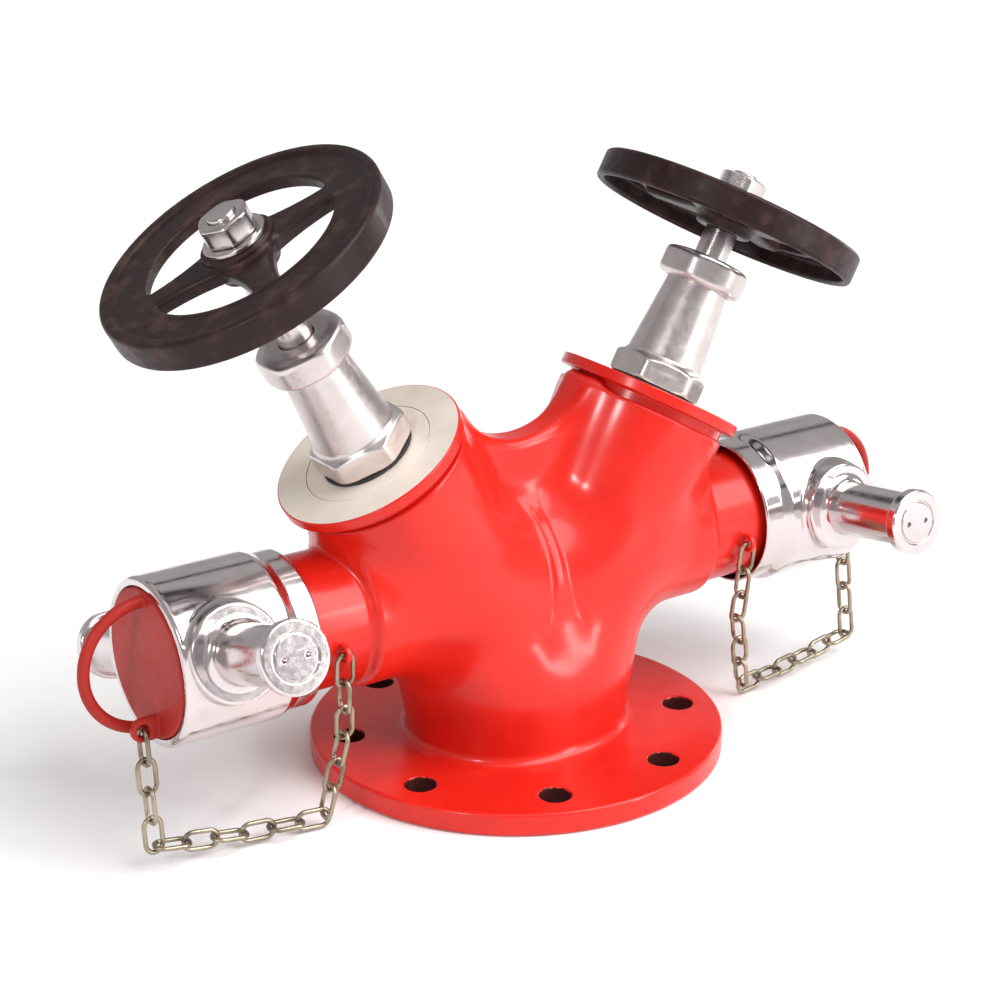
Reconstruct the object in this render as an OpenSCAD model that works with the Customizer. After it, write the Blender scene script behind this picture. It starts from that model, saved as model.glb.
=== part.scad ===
// Twin-outlet landing valve (double-headed fire hydrant head).
// One Y-shaped casting stands on a drilled inlet flange. Each arm holds an oblique screw-down
// valve with a handwheel, and each horizontal outlet ends in a female instantaneous coupling
// with two spring-loaded lugs and a blank cap on a chain.
// Frame: millimetres, +Z up, origin at the centre of the flange's lower face, outlets along X.

/* [Inlet flange] */
// Outer diameter of the inlet flange
flange_d = 220; // [212:2:250]
// Thickness of the inlet flange
flange_t = 12; // [10:1:20]
// Diameter of the bolt circle
bolt_circle_d = 180; // [168:2:184]
// Number of bolt holes
bolt_count = 8; // [4:4:12]
// Diameter of each bolt hole
bolt_hole_d = 16; // [12:1:20]
// Bore of the inlet
inlet_bore_d = 98; // [90:1:104]
// Fillet between the flange and the throat
throat_fillet = 6; // [2:1:12]

/* [Casting] */
// Outer diameter of the vertical throat
throat_d = 117; // [112:1:126]
// Lean of each valve arm from the vertical, in degrees
arm_tilt = 30; // [28:1:33]
// Height where the two arm axes cross
arm_root_z = 27; // [24:1:30]
// Distance from that crossing to the machined rim face, along the arm
arm_l = 177; // [172:1:190]
// Outer diameter of each arm
arm_d = 88; // [86:1:94]
// Bore of each valve chamber
chamber_d = 68; // [66:1:70]
// Thickness of the rim
rim_t = 6; // [4:1:10]
// Thickness of the web between the arms
web_t = 28; // [20:1:50]
// Height of the saddle between the arms
saddle_z = 174; // [168:1:180]
// Height of the outlet axes
outlet_z = 100; // [98:1:104]

/* [Valves] */
// Distance from the arm crossing to the seat face, along the arm
seat_s = 68; // [66:1:70]
// Lift of the left valve, which stands open
left_lift = 27; // [0:3:36]
// Lift of the right valve, which stands closed
right_lift = 0; // [0:3:36]
// Diameter of the valve stem
stem_d = 18; // [16:1:20]

/* [Bonnets and handwheels] */
// Distance across the flats of the bonnet hexagon
bonnet_af = 46; // [42:1:52]
// Distance across the flats of the gland nut
gland_af = 45; // [43:1:48]
// Outer diameter of each handwheel
wheel_d = 146; // [120:2:160]
// Depth of the handwheel rim
wheel_t = 15.5; // [12:0.5:20]
// Width of the handwheel rim
wheel_rim_w = 24; // [16:1:26]
// Number of handwheel spokes
spoke_count = 4; // [3:1:5]
// Turn of the first spoke about the stem, in degrees
spoke_turn = 17; // [0:1:90]
// Width of each spoke
spoke_w = 14; // [10:1:18]

/* [Outlet couplings] */
// Distance from the middle to the open face of each coupling
face_x = 213.5; // [210:0.5:230]
// Outer diameter of the coupling barrel
barrel_d = 84; // [82:1:92]
// Radial distance from the outlet axis to the knob face
knob_r = 104; // [98:1:112]
// Diameter of the lug knob
knob_d = 35; // [32:1:40]
// Diameter of the lug housing
housing_d = 29; // [27:1:31]
// Turn of the left coupling's lugs about the outlet axis, in degrees
left_lug_turn = 18; // [0:1:25]
// Turn of the right coupling's lugs about the outlet axis, in degrees
right_lug_turn = 8; // [0:1:25]

/* [Caps and chains] */
// Bend radius of the cap's loop handle, to the middle of its bar
loop_bend_r = 32; // [26:1:33]
// Diameter of the loop handle's bar
loop_bar_d = 6; // [5:0.5:7]
// Diameter of the chain wire
wire_d = 2.4; // [2:0.1:2.6]
// Outside length of a chain link
link_l = 20; // [19:0.5:21]
// Outside width of a chain link
link_w = 11.5; // [11:0.5:13]

/* [Fits] */
// Running clearance on a radius between a stem and its bore
run_gap = 0.3; // [0.2:0.05:0.5]
// Clearance between two faces that pass each other
face_gap = 0.4; // [0.3:0.05:0.8]

/* [Hidden] */
$fn = 96;
eps = 0.5;
PIECES = ["seat_ring", "clack", "clack_washer", "clack_nut", "stem", "bonnet", "bonnet_gasket",
          "gland_packing", "gland_follower", "gland_nut", "handwheel", "wheel_washer", "wheel_nut",
          "coupling", "coupling_gasket", "lug_front", "lug_rear", "spring_front", "spring_rear",
          "cap", "cap_seal", "chain_1", "chain_2", "chain_3", "chain_4", "chain_5"];

// Colours
RED = [0.85, 0.12, 0.08];
BLACK = [0.08, 0.08, 0.09];
STEEL = [0.78, 0.77, 0.78];
BRASS = [0.78, 0.68, 0.42];
ZINC = [0.62, 0.60, 0.50];
RUBBER = [0.12, 0.12, 0.12];

// Sizes that follow the driving ones
rim_d = arm_d + 12;
seat_d = chamber_d - 6;
seat_bore_d = seat_d - 12;
collar_d = barrel_d - 8;
neck_d = collar_d - 7;
neck_bore_d = neck_d - 15;
cap_d = barrel_d - 10;
fit_gap = 0.2;

// Casting stations
neck_end_x = face_x - 57.5;
collar_x = face_x - 74.5;
shoulder_x = face_x - 58.5;
swell_w = 8;
swell_x = 106;
swell_taper = 8;
undercut_t = 5;
undercut_d = arm_d - 4;
throat_top_z = 46;
saddle_r = 46;
root_s = 20;
inlet_depth = 44;
eye_x = collar_x - 12;
eye_y = -38;
eye_z = outlet_z - 4;
eye_t = 3;
eye_d = 10;
eye_hole_d = 5.6;

// Valve stations along the arm, from the crossing of the arm axes
clack_t = 7;
washer_t = 4;
clack_d = seat_d - 3;
seat_t = 8;
nut_t = 7;
nut_af = 24;
bonnet_thread_l = 14;
bonnet_hex_t = 13;
gasket_t = 1.5;
bonnet_base_s = arm_l + gasket_t;
barrel_top_s = bonnet_base_s + 66;
gland_nut_t = 16;
packing_t = 8;
follower_t = 9;
gland_bore_d = stem_d + 8;
barrel_foot_d = 43;
barrel_top_d = 32;
stub_l = 2;
packing_s = barrel_top_s - 13;
wheel_s = arm_l + 91.5;
hub_d = 40;
hub_t = 17;
wheel_nut_af = 24;
wheel_nut_t = 11;
washer_d = 32;
washer_plate_t = 2.5;
stud_d = 12;
top_d = 14;

// Coupling stations along the outlet
lug_x = face_x - 25.5;
boss_d = 48;
boss_r = 47;
housing_end = knob_r - 7;
rod_d = 10;
tip_d = 13;
socket_r = barrel_d / 2 - 8.5;
plug_r = socket_r - 1.5;
lip_r = plug_r - 0.5;
lip_t = 4;
plug_l = 40;
cap_t = 6;
spring_wire = 1.8;
spring_mean_d = 17;
spring_turns = 7;
spring_in = 56;
collar_t = 3;
socket_start_x = face_x - 47.5;
pin_hole_d = 2.4;
pin_hole_x = 6;
ring_d = 22;
ring_w = 0.7;
gasket_len = 6;

// Chain: segments of rigid links, pivoted where a flat link's end crosses an upright one.
// The first angles are chosen, and the last two close the run onto the cap's tab.
pitch = link_l - 2 * wire_d - face_gap;
reach_l = (link_l - wire_d) / 2;
tab_x = face_x + cap_t + 3;
tab_z = outlet_z - 29;
tab_y = -9;
tab_t = 4;
tab_d = 12;
tab_hole_d = 6.8;
LINKS = [3, 3, 3, 3, 4];
OFFSETS = [reach_l, reach_l, pitch - reach_l, reach_l, pitch - reach_l];
SPANS = [3 * pitch, 2 * pitch + 2 * reach_l, 4 * pitch - 2 * reach_l, 2 * pitch + 2 * reach_l,
         4 * pitch];
LEAD_ANGLES = [-92, -78, 2];
chain_l = SPANS[0] + SPANS[1] + SPANS[2] + SPANS[3] + SPANS[4];
chain_slope = asin((tab_y - eye_y) / chain_l);
function flat_span(k) = SPANS[k] * cos(chain_slope);
function heading(a) = [cos(a), sin(a)];
function lead_joint(k) = k == 0
    ? [eye_x, eye_z]
    : lead_joint(k - 1) + flat_span(k - 1) * heading(LEAD_ANGLES[k - 1]);
function joint_y(k) = k == 0 ? eye_y : joint_y(k - 1) + SPANS[k - 1] * sin(chain_slope);
elbow = lead_joint(3);
to_tab = [tab_x, tab_z] - elbow;
elbow_a = acos((pow(flat_span(3), 2) + pow(norm(to_tab), 2) - pow(flat_span(4), 2))
               / (2 * flat_span(3) * norm(to_tab)));
angle_4 = atan2(to_tab[1], to_tab[0]) - elbow_a;
last_joint = elbow + flat_span(3) * heading(angle_4);
angle_5 = atan2(tab_z - last_joint[1], tab_x - last_joint[0]);
ANGLES = [LEAD_ANGLES[0], LEAD_ANGLES[1], LEAD_ANGLES[2], angle_4, angle_5];
JOINTS = [lead_joint(0), lead_joint(1), lead_joint(2), elbow, last_joint];

// Places one arm's pieces: its own Z runs outwards along the arm axis
module on_arm(s) {
    translate([0, 0, arm_root_z])
        rotate([0, arm_tilt, 0])
            translate([0, 0, s])
                children();
}

// Places pieces along the outlet: their own Z runs outwards along X
module on_outlet(x) {
    translate([x, 0, outlet_z])
        rotate([0, 90, 0])
            children();
}

// Places one lug's pieces: their own Z runs outwards from the outlet axis
module on_lug(turn, rear) {
    translate([lug_x, 0, outlet_z])
        rotate([90 - turn + (rear ? 180 : 0), 0, 0])
            children();
}

module tube(outer_d, inner_d, h) {
    difference() {
        cylinder(d = outer_d, h = h);
        translate([0, 0, -eps])
            cylinder(d = inner_d, h = h + 2 * eps);
    }
}

module hexagon(af, h) {
    cylinder(d = af / cos(30), h = h, $fn = 6);
}

// A hexagon whose corners are rounded off by a chamfered turning
module turned_hexagon(af, h) {
    intersection() {
        hexagon(af, h);
        rotate_extrude()
            polygon([[0, 0], [af / 2 + 0.5, 0], [af / cos(30) / 2, 2], [af / cos(30) / 2, h - 2],
                     [af / 2 + 0.5, h], [0, h]]);
    }
}

// Casting

module flange_plate() {
    cylinder(d = flange_d, h = flange_t);
    translate([0, 0, flange_t])
        rotate_extrude()
            difference() {
                square([throat_d / 2 + throat_fillet, throat_fillet]);
                translate([throat_d / 2 + throat_fillet, throat_fillet])
                    circle(r = throat_fillet);
            }
}

module bolt_holes() {
    for (i = [0 : bolt_count - 1])
        rotate([0, 0, (i + 0.5) * 360 / bolt_count])
            translate([bolt_circle_d / 2, 0, -eps])
                cylinder(d = bolt_hole_d, h = flange_t + 2 * eps, $fn = 32);
}

module arm_outside() {
    on_arm(root_s)
        cylinder(d = arm_d, h = arm_l - root_s - rim_t - undercut_t + eps);
    on_arm(arm_l - rim_t - undercut_t)
        cylinder(d = undercut_d, h = undercut_t + eps);
    on_arm(arm_l - rim_t)
        cylinder(d = rim_d, h = rim_t);
    on_arm(root_s)
        sphere(d = arm_d);
}

module neck_outside() {
    on_outlet(40)
        cylinder(d = neck_d + swell_w, h = swell_x - 40);
    on_outlet(swell_x)
        cylinder(d1 = neck_d + swell_w, d2 = neck_d, h = swell_taper);
    on_outlet(swell_x)
        cylinder(d = neck_d, h = neck_end_x - swell_x);
}

module web() {
    rotate([90, 0, 0])
        translate([0, 0, -web_t / 2])
            linear_extrude(web_t)
                difference() {
                    polygon([[-52, 60], [52, 60], [72, 150], [48, saddle_z + 20],
                             [-48, saddle_z + 20], [-72, 150]]);
                    translate([0, saddle_z + saddle_r])
                        circle(r = saddle_r);
                    translate([-saddle_r, saddle_z + saddle_r])
                        square([2 * saddle_r, 60]);
                }
}

module arm_inside() {
    on_arm(seat_s)
        cylinder(d = chamber_d, h = arm_l - seat_s + eps);
    on_arm(seat_s - seat_t)
        cylinder(d = seat_d + fit_gap, h = seat_t + eps);
    on_arm(root_s)
        cylinder(d = seat_bore_d, h = seat_s - root_s);
    on_outlet(seat_s * sin(arm_tilt) + 8)
        cylinder(d = neck_bore_d, h = neck_end_x);
}

module eye() {
    translate([eye_x - eye_t / 2, eye_y, eye_z])
        rotate([0, 90, 0])
            cylinder(d = eye_d, h = eye_t, $fn = 32);
    translate([eye_x - eye_t / 2, eye_y, eye_z - eye_d / 2])
        cube([eye_t, -eye_y - neck_bore_d / 2 - 2, eye_d]);
}

module eye_hole() {
    translate([eye_x - eye_t, eye_y, eye_z])
        rotate([0, 90, 0])
            cylinder(d = eye_hole_d, h = 2 * eye_t, $fn = 32);
}

// The rounded top of the throat, kept above the flange's lower face
module throat_dome() {
    intersection() {
        translate([0, 0, throat_top_z])
            sphere(d = throat_d);
        translate([0, 0, flange_t / 2])
            cylinder(d = throat_d + 2 * eps, h = throat_top_z + throat_d / 2);
    }
}

module body() {
    color(RED)
        difference() {
            union() {
                flange_plate();
                cylinder(d = throat_d, h = throat_top_z);
                throat_dome();
                web();
                for (side = [0, 1])
                    mirror([side, 0, 0]) {
                        arm_outside();
                        neck_outside();
                        eye();
                    }
            }
            bolt_holes();
            translate([0, 0, -eps])
                cylinder(d = inlet_bore_d, h = inlet_depth + eps);
            for (side = [0, 1])
                mirror([side, 0, 0]) {
                    arm_inside();
                    eye_hole();
                }
        }
}

// Valve pieces, each in its arm's frame

module seat_ring() {
    color(BRASS)
        on_arm(seat_s - seat_t)
            tube(seat_d, seat_bore_d, seat_t);
}

module clack_washer(lift) {
    color(RUBBER)
        on_arm(seat_s + lift + face_gap)
            tube(clack_d - 2, stud_d + 2 * fit_gap, washer_t);
}

module clack(lift) {
    color(BRASS)
        on_arm(seat_s + lift + face_gap + washer_t) {
            difference() {
                union() {
                    cylinder(d = clack_d, h = clack_t);
                    translate([0, 0, clack_t - eps])
                        cylinder(d = stem_d + 12, h = 12);
                }
                translate([0, 0, 5])
                    cylinder(d = stem_d + 2 * run_gap, h = 30);
            }
            translate([0, 0, -washer_t - nut_t - 3])
                cylinder(d = stud_d, h = washer_t + nut_t + 4);
        }
}

module clack_nut(lift) {
    color(BRASS)
        on_arm(seat_s + lift + face_gap - nut_t)
            difference() {
                hexagon(nut_af, nut_t);
                translate([0, 0, -eps])
                    cylinder(d = stud_d + fit_gap, h = nut_t + 2 * eps);
            }
}

module stem(lift) {
    foot = seat_s + face_gap + washer_t + 5 + face_gap;
    color(STEEL)
        on_arm(foot + lift) {
            cylinder(d = stem_d, h = wheel_s - foot);
            translate([0, 0, wheel_s - foot - eps])
                cylinder(d = top_d, h = hub_t + washer_plate_t + wheel_nut_t + stub_l + eps);
        }
}

module bonnet() {
    color(STEEL)
        difference() {
            union() {
                on_arm(arm_l - bonnet_thread_l)
                    cylinder(d = chamber_d - 2 * run_gap, h = bonnet_thread_l);
                on_arm(arm_l - eps)
                    cylinder(d = bonnet_af - 4, h = gasket_t + 2 * eps);
                on_arm(bonnet_base_s)
                    rotate([0, 0, 30])
                        turned_hexagon(bonnet_af, bonnet_hex_t);
                on_arm(bonnet_base_s + bonnet_hex_t - eps)
                    cylinder(d1 = barrel_foot_d, d2 = barrel_top_d,
                             h = barrel_top_s - bonnet_base_s - bonnet_hex_t + eps);
            }
            on_arm(arm_l - bonnet_thread_l - eps)
                cylinder(d = stem_d + 2 * run_gap, h = 100);
            on_arm(packing_s)
                cylinder(d = gland_bore_d, h = 40);
        }
}

module bonnet_gasket() {
    color(RUBBER)
        on_arm(arm_l)
            tube(bonnet_af + 2, bonnet_af - 3, gasket_t);
}

module gland_packing() {
    color(RUBBER)
        on_arm(packing_s)
            tube(gland_bore_d, stem_d + 2 * run_gap, packing_t);
}

module gland_follower() {
    color(BRASS)
        on_arm(packing_s + packing_t)
            tube(gland_bore_d - 2 * run_gap, stem_d + 2 * run_gap, follower_t);
}

module gland_nut() {
    lid_s = packing_s + packing_t + follower_t;
    color(STEEL)
        on_arm(lid_s + 4 - gland_nut_t)
            difference() {
                rotate([0, 0, 30])
                    turned_hexagon(gland_af, gland_nut_t);
                translate([0, 0, -eps])
                    cylinder(d = barrel_top_d + 2.2, h = gland_nut_t - 4 + eps);
                cylinder(d = stem_d + 2 * run_gap, h = gland_nut_t + eps);
            }
}

// Handwheel: a flat rim with a raised lip, spokes and a tapered hub
module handwheel(lift) {
    outer_r = wheel_d / 2;
    inner_r = outer_r - wheel_rim_w;
    color(BLACK)
        on_arm(wheel_s + lift)
            difference() {
                union() {
                    rotate_extrude()
                        polygon([[inner_r, wheel_t - 8], [inner_r, wheel_t - 2],
                                 [inner_r + 1, wheel_t - 1.5], [outer_r - 7, wheel_t - 1.5],
                                 [outer_r - 5, wheel_t], [outer_r - 1.5, wheel_t],
                                 [outer_r, wheel_t - 1.5], [outer_r, 1.5], [outer_r - 1, 0],
                                 [outer_r - 3.5, 0], [outer_r - 4.5, wheel_t - 6],
                                 [inner_r + 4, wheel_t - 6], [inner_r + 3, wheel_t - 8]]);
                    cylinder(d1 = hub_d - 8, d2 = hub_d, h = hub_t);
                    for (i = [0 : spoke_count - 1])
                        rotate([0, 0, i * 360 / spoke_count + spoke_turn])
                            translate([0, -spoke_w / 2, wheel_t - 7.5])
                                cube([inner_r + 2, spoke_w, 5]);
                }
                translate([0, 0, -eps])
                    cylinder(d = top_d + fit_gap, h = hub_t + 2 * eps);
            }
}

module wheel_washer(lift) {
    color(STEEL)
        on_arm(wheel_s + hub_t + lift)
            tube(washer_d, top_d + fit_gap, washer_plate_t);
}

module wheel_nut(lift) {
    color(STEEL)
        on_arm(wheel_s + hub_t + washer_plate_t + lift)
            difference() {
                turned_hexagon(wheel_nut_af, wheel_nut_t);
                translate([0, 0, -eps])
                    cylinder(d = top_d + fit_gap, h = wheel_nut_t + 2 * eps);
            }
}

// Coupling: collar, shoulder and barrel, with two lug housings

module lug_housing() {
    cylinder(d = boss_d, h = boss_r);
    cylinder(d = housing_d, h = housing_end);
    translate([0, 0, boss_r])
        rotate_extrude()
            difference() {
                square([housing_d / 2 + 5, 5]);
                translate([housing_d / 2 + 5, 5])
                    circle(r = 5, $fn = 48);
            }
}

module coupling(turn) {
    color(STEEL)
        difference() {
            union() {
                on_outlet(0)
                    rotate_extrude()
                        polygon([[0, collar_x], [collar_d / 2 - 2, collar_x],
                                 [collar_d / 2, collar_x + 2], [collar_d / 2, shoulder_x - 4],
                                 [barrel_d / 2 - 1, shoulder_x], [barrel_d / 2, shoulder_x + 1],
                                 [barrel_d / 2, face_x - 3], [barrel_d / 2 - 3, face_x],
                                 [0, face_x]]);
                for (rear = [false, true])
                    on_lug(turn, rear)
                        lug_housing();
            }
            on_outlet(collar_x - eps)
                cylinder(d = neck_d + 2 * run_gap, h = neck_end_x + 2 - collar_x);
            on_outlet(neck_end_x)
                cylinder(d = neck_bore_d, h = 40);
            on_outlet(socket_start_x)
                cylinder(r = socket_r, h = face_x);
            on_outlet(face_x - cap_t + 2)
                cylinder(d = cap_d + 2 * face_gap, h = cap_t);
            for (rear = [false, true])
                on_lug(turn, rear) {
                    translate([0, 0, spring_in - 6])
                        cylinder(d = housing_d - 7, h = knob_r);
                    cylinder(d = tip_d + 2 * run_gap, h = knob_r);
                }
        }
}

module coupling_gasket() {
    color(RUBBER)
        on_outlet(socket_start_x)
            tube(2 * socket_r - face_gap, 2 * socket_r - 10, gasket_len);
}

// Spring-loaded lug: tip, rod, collar and knob in one piece
module lug(turn, rear) {
    color(STEEL)
        on_lug(turn, rear)
            difference() {
                union() {
                    translate([0, 0, lip_r + 1])
                        cylinder(d1 = tip_d - 5, d2 = tip_d, h = 3);
                    translate([0, 0, lip_r + 4])
                        cylinder(d = tip_d, h = spring_in - 6 - lip_r - 4 + collar_t);
                    translate([0, 0, spring_in - 6 + face_gap])
                        cylinder(d = housing_d - 8, h = collar_t);
                    translate([0, 0, spring_in - 6])
                        cylinder(d = rod_d, h = knob_r - spring_in);
                    translate([0, 0, housing_end + face_gap])
                        rotate_extrude()
                            polygon([[0, 0], [knob_d / 2 - 1.5, 0], [knob_d / 2, 1.5],
                                     [knob_d / 2, 5], [knob_d / 2 - 1.6, 6.6], [0, 6.6]]);
                }
                for (i = [-1, 1])
                    translate([i * pin_hole_x, 0, knob_r - 4])
                        cylinder(d = pin_hole_d, h = 8, $fn = 24);
                translate([0, 0, knob_r - 1])
                    tube(ring_d + 2 * ring_w, ring_d, 8);
            }
}

// The spring that holds the lug in: its coils and the skin they share
module lug_spring(turn, rear) {
    bottom = spring_in - 6 + face_gap + collar_t + 0.3;
    top = housing_end - 3;
    step = (top - bottom - spring_wire) / (spring_turns - 1);
    color(ZINC)
        on_lug(turn, rear)
            rotate_extrude() {
                translate([spring_mean_d / 2 - 0.3, bottom + spring_wire / 2])
                    square([0.6, top - bottom - spring_wire]);
                for (i = [0 : spring_turns - 1])
                    translate([spring_mean_d / 2, bottom + spring_wire / 2 + i * step])
                        circle(d = spring_wire, $fn = 16);
            }
}

// Cap: disc, plug with a lip, loop handle and chain tab

module cap() {
    color(RED) {
        on_outlet(face_x - cap_t + 2 + face_gap)
            cylinder(d = cap_d, h = cap_t - face_gap);
        on_outlet(face_x - plug_l)
            cylinder(r = plug_r - 6, h = plug_l - cap_t + 3);
        on_outlet(face_x - plug_l)
            cylinder(r = lip_r - 1, h = lip_t);
        on_outlet(face_x - 12)
            cylinder(r = plug_r, h = 10);
        loop_handle();
        chain_tab();
    }
}

module loop_handle() {
    bend_r = loop_bend_r;
    intersection() {
        translate([face_x + 1, 0, outlet_z])
            rotate([90, 0, 0])
                rotate_extrude()
                    translate([bend_r, 0])
                        circle(d = loop_bar_d, $fn = 32);
        translate([face_x + 1, -loop_bar_d, outlet_z - cap_d])
            cube([cap_d, 2 * loop_bar_d, 2 * cap_d]);
    }
}

module chain_tab() {
    translate([tab_x, tab_y + tab_t / 2, tab_z])
        rotate([90, 0, 0])
            difference() {
                union() {
                    cylinder(d = tab_d, h = tab_t, $fn = 32);
                    translate([face_x - tab_x, -tab_d / 2, 0])
                        cube([tab_x - face_x, tab_d, tab_t]);
                }
                translate([0, 0, -eps])
                    cylinder(d = tab_hole_d, h = tab_t + 2 * eps, $fn = 32);
            }
}

module cap_seal() {
    color(RUBBER)
        on_outlet(face_x - 20)
            tube(2 * plug_r, 2 * plug_r - 11, 7);
}

// Chain: each link is a stadium of round wire, flat or on edge by turns

module chain_link(on_edge) {
    r = (link_w - wire_d) / 2;
    half = link_l / 2 - link_w / 2;
    rotate([on_edge ? 90 : 0, 0, 0]) {
        for (i = [-1, 1]) {
            translate([-half, i * r, 0])
                rotate([0, 90, 0])
                    cylinder(d = wire_d, h = 2 * half, $fn = 16);
            translate([i * half, 0, 0])
                rotate([0, 0, -90 * i])
                    rotate_extrude(angle = 180, $fn = 32)
                        translate([r, 0])
                            circle(d = wire_d, $fn = 16);
        }
    }
}

module chain_segment(k) {
    color(ZINC)
        translate([JOINTS[k][0], joint_y(k), JOINTS[k][1]])
            rotate([0, -ANGLES[k], 0])
                rotate([0, 0, chain_slope])
                    for (i = [0 : LINKS[k] - 1])
                        translate([OFFSETS[k] + i * pitch, 0, 0])
                            chain_link((3 * k + i) % 2 == 0);
}

// One side of the valve, drawn for the right and mirrored for the left

module piece(name, lift, turn) {
    if (name == "seat_ring") seat_ring();
    if (name == "clack") clack(lift);
    if (name == "clack_washer") clack_washer(lift);
    if (name == "clack_nut") clack_nut(lift);
    if (name == "stem") stem(lift);
    if (name == "bonnet") bonnet();
    if (name == "bonnet_gasket") bonnet_gasket();
    if (name == "gland_packing") gland_packing();
    if (name == "gland_follower") gland_follower();
    if (name == "gland_nut") gland_nut();
    if (name == "handwheel") handwheel(lift);
    if (name == "wheel_washer") wheel_washer(lift);
    if (name == "wheel_nut") wheel_nut(lift);
    if (name == "coupling") coupling(turn);
    if (name == "coupling_gasket") coupling_gasket();
    if (name == "lug_front") lug(turn, false);
    if (name == "lug_rear") lug(turn, true);
    if (name == "spring_front") lug_spring(turn, false);
    if (name == "spring_rear") lug_spring(turn, true);
    if (name == "cap") cap();
    if (name == "cap_seal") cap_seal();
    for (k = [0 : 4])
        if (name == str("chain_", k + 1)) chain_segment(k);
}

body();
for (i = [0 : len(PIECES) - 1]) {
    mirror([1, 0, 0])
            piece(PIECES[i], left_lift, left_lug_turn);
    piece(PIECES[i], right_lift, right_lug_turn);
}
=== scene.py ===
"""Builds and dresses the twin-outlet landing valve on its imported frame.

Every solid is described in millimetres as a distance field in the frame of its own casting or
turning, meshed, and placed by the same stations as the frame's pieces.
"""

from __future__ import annotations

import logging
import math
from dataclasses import dataclass, field
from enum import Enum
from typing import Callable, Sequence

import bpy
import numpy as np
from mathutils import Matrix, Vector

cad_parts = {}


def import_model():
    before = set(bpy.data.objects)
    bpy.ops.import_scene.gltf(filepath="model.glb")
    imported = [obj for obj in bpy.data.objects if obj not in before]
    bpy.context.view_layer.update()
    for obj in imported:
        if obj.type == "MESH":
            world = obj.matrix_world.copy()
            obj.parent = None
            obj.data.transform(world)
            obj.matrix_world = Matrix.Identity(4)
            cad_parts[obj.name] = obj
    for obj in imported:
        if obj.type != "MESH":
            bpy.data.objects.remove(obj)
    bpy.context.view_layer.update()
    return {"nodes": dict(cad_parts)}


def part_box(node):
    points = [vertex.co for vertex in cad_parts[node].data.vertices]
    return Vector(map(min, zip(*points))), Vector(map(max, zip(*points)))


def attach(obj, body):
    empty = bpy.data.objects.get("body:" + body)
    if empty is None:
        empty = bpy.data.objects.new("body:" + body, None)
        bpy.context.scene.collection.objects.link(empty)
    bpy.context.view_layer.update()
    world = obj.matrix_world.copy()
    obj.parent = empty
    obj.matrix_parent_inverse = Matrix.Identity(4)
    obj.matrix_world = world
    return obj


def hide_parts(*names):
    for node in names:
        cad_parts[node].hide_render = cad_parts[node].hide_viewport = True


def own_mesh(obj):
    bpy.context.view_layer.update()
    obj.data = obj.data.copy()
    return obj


LOG = logging.getLogger("landing_valve")
MM = 0.001
TINY = 1e-9
MIRROR = np.array([-1.0, 1.0, 1.0])
Array = np.ndarray
Field = Callable[[Array], Array]
Triple = tuple[float, float, float]
Piece = bpy.types.Object
Material = bpy.types.Material
Socket = bpy.types.NodeSocket


class Side(Enum):
    """The two arms of the valve. The frame is drawn on the right and mirrored for the left."""

    LEFT = "left"
    RIGHT = "right"

    @property
    def mirrored(self) -> bool:
        """True for the side that is the mirror image."""
        return self is Side.LEFT

    def node(self, piece: str) -> str:
        """The frame's name for a piece on this side."""
        return f"{self.value}_{piece}"


class Facing(Enum):
    """Which way a coupling lug points."""

    FRONT = "front"
    REAR = "rear"


# Distance fields


def join(first: Array, *others: Array) -> Array:
    """Distance to solids taken together."""
    for other in others:
        first = np.minimum(first, other)
    return first


def round_join(a: Array, b: Array, radius: float) -> Array:
    """Union whose inner corner has a fillet.

    Args:
        a: Distances to the first solid.
        b: Distances to the second solid.
        radius: Fillet radius.

    Returns:
        Distances to the joined solid.
    """
    u = np.maximum(radius - a, 0)
    v = np.maximum(radius - b, 0)
    return np.maximum(radius, np.minimum(a, b)) - np.hypot(u, v)


def round_meet(a: Array, b: Array, radius: float) -> Array:
    """Intersection whose outer corner is rounded.

    Args:
        a: Distances to the first solid.
        b: Distances to the second solid.
        radius: Edge radius.

    Returns:
        Distances to the common solid.
    """
    u = np.maximum(radius + a, 0)
    v = np.maximum(radius + b, 0)
    return np.minimum(-radius, np.maximum(a, b)) + np.hypot(u, v)


def round_cut(a: Array, b: Array, radius: float) -> Array:
    """The first solid less the second, with a rounded edge."""
    return round_meet(a, -b, radius)


def soft_join(a: Array, b: Array, reach: float) -> Array:
    """Union that flows like moulded metal.

    Args:
        a: Distances to the first solid.
        b: Distances to the second solid.
        reach: How far from the corner the surfaces start to flow together.

    Returns:
        Distances to the joined solid.
    """
    share = np.clip(0.5 + 0.5 * (b - a) / reach, 0, 1)
    return b * (1 - share) + a * share - reach * share * (1 - share)


def radius_of(p: Array) -> Array:
    """Distance of each point from the Z axis."""
    return np.hypot(p[:, 0], p[:, 1])


def between(values: Array, low: float, high: float) -> Array:
    """Distance to a slab from low to high."""
    return np.maximum(low - values, values - high)


def drum(p: Array, radius: float, low: float, high: float, edge: float = 0.0) -> Array:
    """Distance to an upright cylinder.

    Args:
        p: Points in the cylinder's frame.
        radius: Its radius.
        low: Its lower end.
        high: Its upper end.
        edge: Radius of its rounded edges.

    Returns:
        Distance of each point.
    """
    wall = radius_of(p) - radius
    ends = between(p[:, 2], low, high)
    return round_meet(wall, ends, edge) if edge else np.maximum(wall, ends)


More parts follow.
